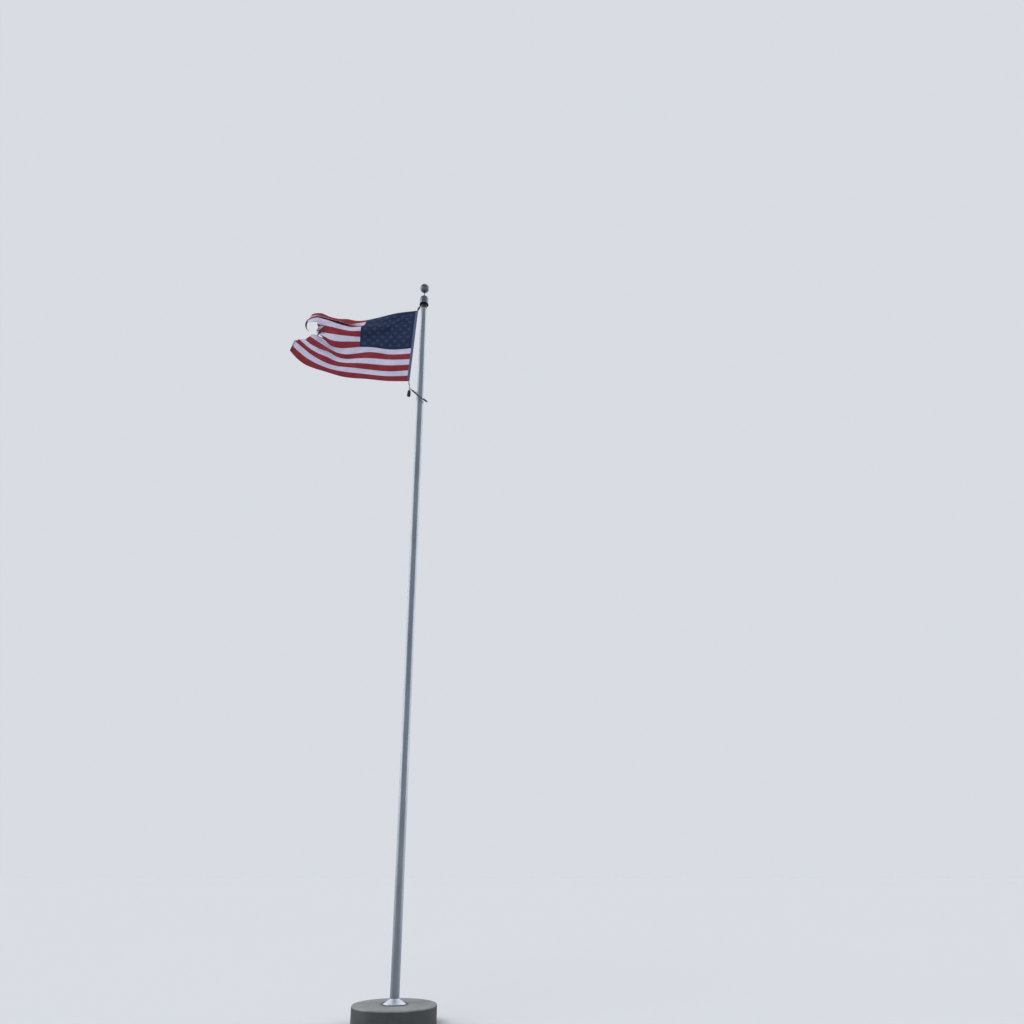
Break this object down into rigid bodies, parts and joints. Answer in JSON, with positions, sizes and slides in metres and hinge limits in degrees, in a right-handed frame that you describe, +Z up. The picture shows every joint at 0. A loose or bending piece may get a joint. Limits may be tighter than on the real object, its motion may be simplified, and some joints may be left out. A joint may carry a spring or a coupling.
{
  "type": "flagpole",
  "caption": "Ground-set tapered aluminium flagpole on a round concrete pier, with a revolving truck, internal halyard, ball finial, counterweight, retainer loop and torn striped flag.",
  "frame": {"origin": "centre of the pier's underside, at ground level, on the shaft's axis", "axes": "+Z up along the shaft, the flag flies towards -X, the access door faces +Y"},
  "size_m": [2.2319, 0.914, 9.6435],
  "materials": {
    "concrete": "matte",
    "packing": "matte",
    "galvanised_steel": "satin",
    "satin_aluminium": "satin",
    "spun_aluminium": "satin",
    "cast_aluminium": "matte",
    "stainless": "satin",
    "brass": "satin",
    "sealant": "matte",
    "nylon": "matte",
    "coated_cable": "satin",
    "black_vinyl": "satin",
    "canvas": "matte",
    "flag_cloth": "matte"
  },
  "bodies": {
    "mast": {"foundation_pier": "concrete", "ground_sleeve": "galvanised_steel", "sleeve_packing": "packing", "shaft": "satin_aluminium", "flash_collar": "spun_aluminium", "collar_sealant": "sealant", "door_frame": "satin_aluminium", "access_door": "satin_aluminium", "door_hinge": "stainless", "door_lock": "brass", "halyard_cleat": "cast_aluminium", "inner_halyard": "coated_cable", "truck_socket": "cast_aluminium", "truck_boot": "black_vinyl", "truck_spindle": "stainless", "thrust_bearing": "nylon", "retaining_collar": "stainless"},
    "truck_head": {"truck_yoke": "cast_aluminium", "sheave": "nylon", "sheave_pin": "stainless", "halyard_bend": "coated_cable", "halyard_drop": "coated_cable", "truck_hood": "spun_aluminium", "finial_stem": "stainless", "stem_nut": "stainless", "ball_neck": "spun_aluminium", "ball_lower": "spun_aluminium", "ball_upper": "spun_aluminium"},
    "flag_set": {"flag_heading": "canvas", "upper_grommet": "brass", "lower_grommet": "brass", "flag": "flag_cloth", "halyard_eye": "coated_cable", "snap_swivel": "stainless", "snap_cover": "black_vinyl", "snap_hook": "stainless", "quick_link": "stainless", "lower_snap_hook": "stainless", "lower_snap_body": "stainless", "lower_snap_swivel": "stainless", "weight_eye": "stainless", "counterweight": "black_vinyl", "retainer_cable": "coated_cable", "retainer_rollers": "black_vinyl"}
  },
  "joints": [
    {"name": "truck_spin", "type": "hinge", "parent": "mast", "child": "truck_head", "pos_m": [0, 0, 9.344], "axis": [0, 0, 1], "continuous": true},
    {"name": "flag_hoist", "type": "slide", "parent": "truck_head", "child": "flag_set", "axis": [0.0025, 0, 1], "range_m": [-7.2, 0], "deforming": ["halyard_drop"]}
  ]
}
